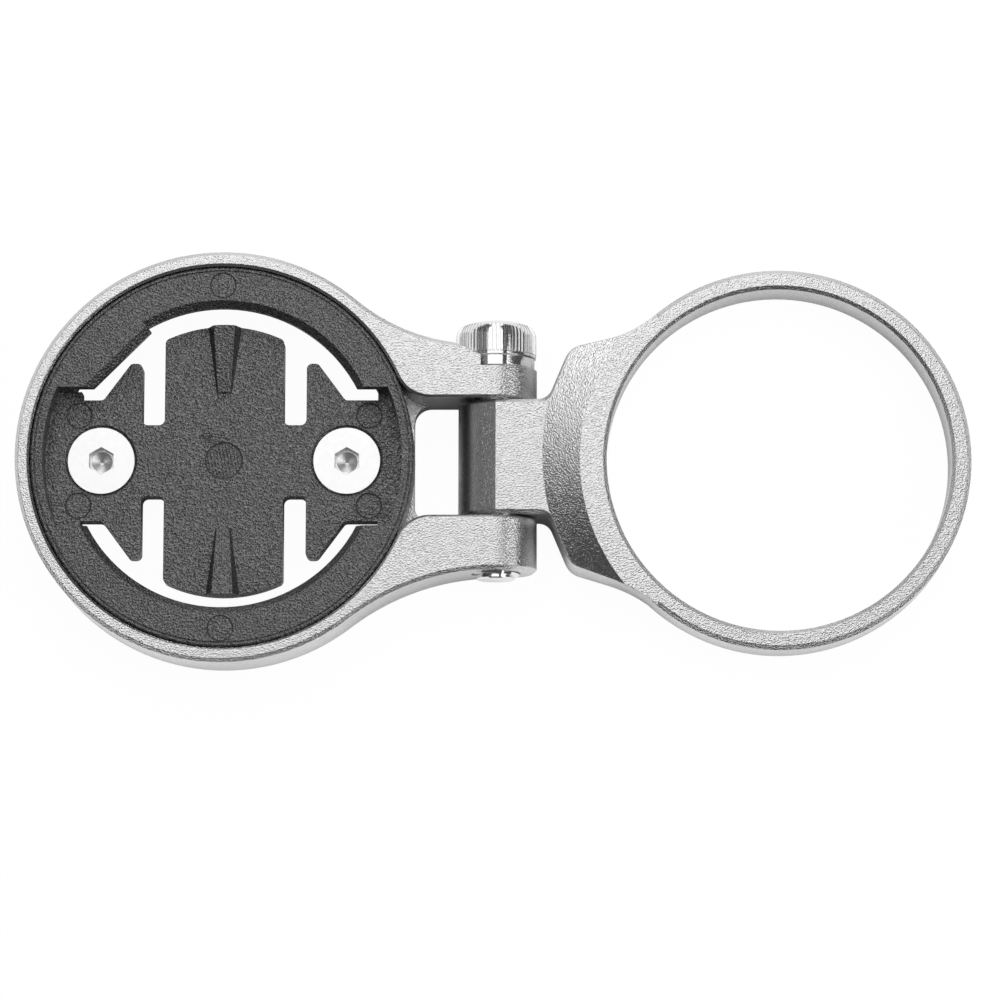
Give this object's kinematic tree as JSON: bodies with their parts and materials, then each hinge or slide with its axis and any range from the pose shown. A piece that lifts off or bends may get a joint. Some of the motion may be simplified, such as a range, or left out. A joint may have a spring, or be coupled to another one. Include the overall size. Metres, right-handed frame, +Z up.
{
  "type": "bike computer mount",
  "caption": "Steerer-clamped computer mount: a closed ring for a 28.6 mm steerer tube, hinged to a round cradle whose moulded insert takes a quarter-turn bayonet.",
  "frame": {"origin": "centre of the steerer bore, halfway up the steerer ring", "axes": "+Z up the steerer tube, the cradle towards -X, the hinge axis along Y"},
  "size_m": [0.0795, 0.0344, 0.0068],
  "materials": {
    "anodised_aluminium": "bead-blasted and clear anodised",
    "black_nylon": "moulded with a fine spark-eroded grain",
    "zinc_plated_steel": "bright zinc plate",
    "nickel_plated_steel": "bright nickel plate over a knurled head"
  },
  "bodies": {
    "steerer_side": {"steerer_ring": "anodised_aluminium"},
    "computer_side": {"cradle": "anodised_aluminium", "quarter_turn_insert": "black_nylon", "insert_screw_left": "zinc_plated_steel", "insert_screw_right": "zinc_plated_steel", "hinge_screw": "nickel_plated_steel"}
  },
  "joints": [
    {"name": "hinge", "type": "hinge", "parent": "steerer_side", "child": "computer_side", "pos_m": [-0.02357, 0, 0.0009], "axis": [0, 1, 0], "range_deg": [-95, 95]}
  ]
}
